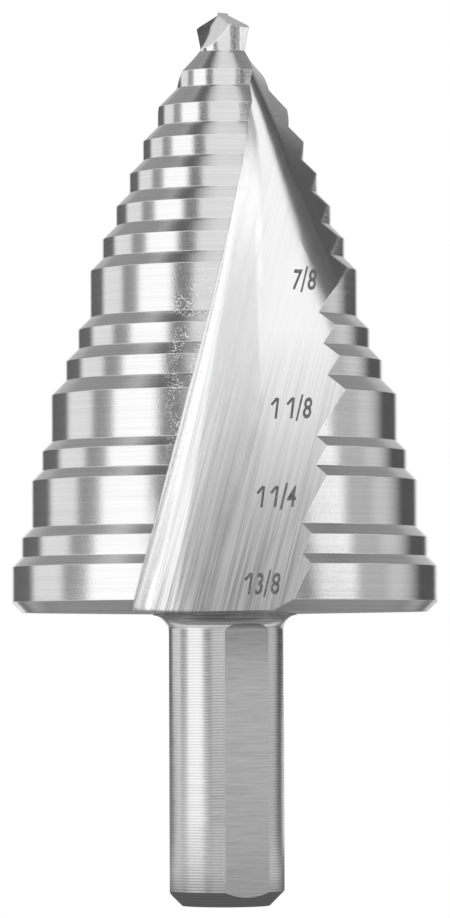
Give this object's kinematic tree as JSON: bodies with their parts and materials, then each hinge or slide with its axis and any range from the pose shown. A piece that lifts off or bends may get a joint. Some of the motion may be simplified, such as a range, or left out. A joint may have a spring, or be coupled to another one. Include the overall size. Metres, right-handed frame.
{
  "type": "step drill",
  "caption": "Stepped cone drill for sheet metal with twisted flutes, a split pilot point and a shank with three flats.",
  "frame": {"origin": "centre of the shank's end face", "axes": "+Z along the drill's axis from the shank to the point, -Y through the front flute's side"},
  "size_m": [0.0346, 0.0328, 0.0727],
  "materials": {
    "ground_steel": "turned and ground bright high-speed steel"
  },
  "bodies": {
    "root": {"step_drill": "ground_steel"}
  },
  "joints": []
}
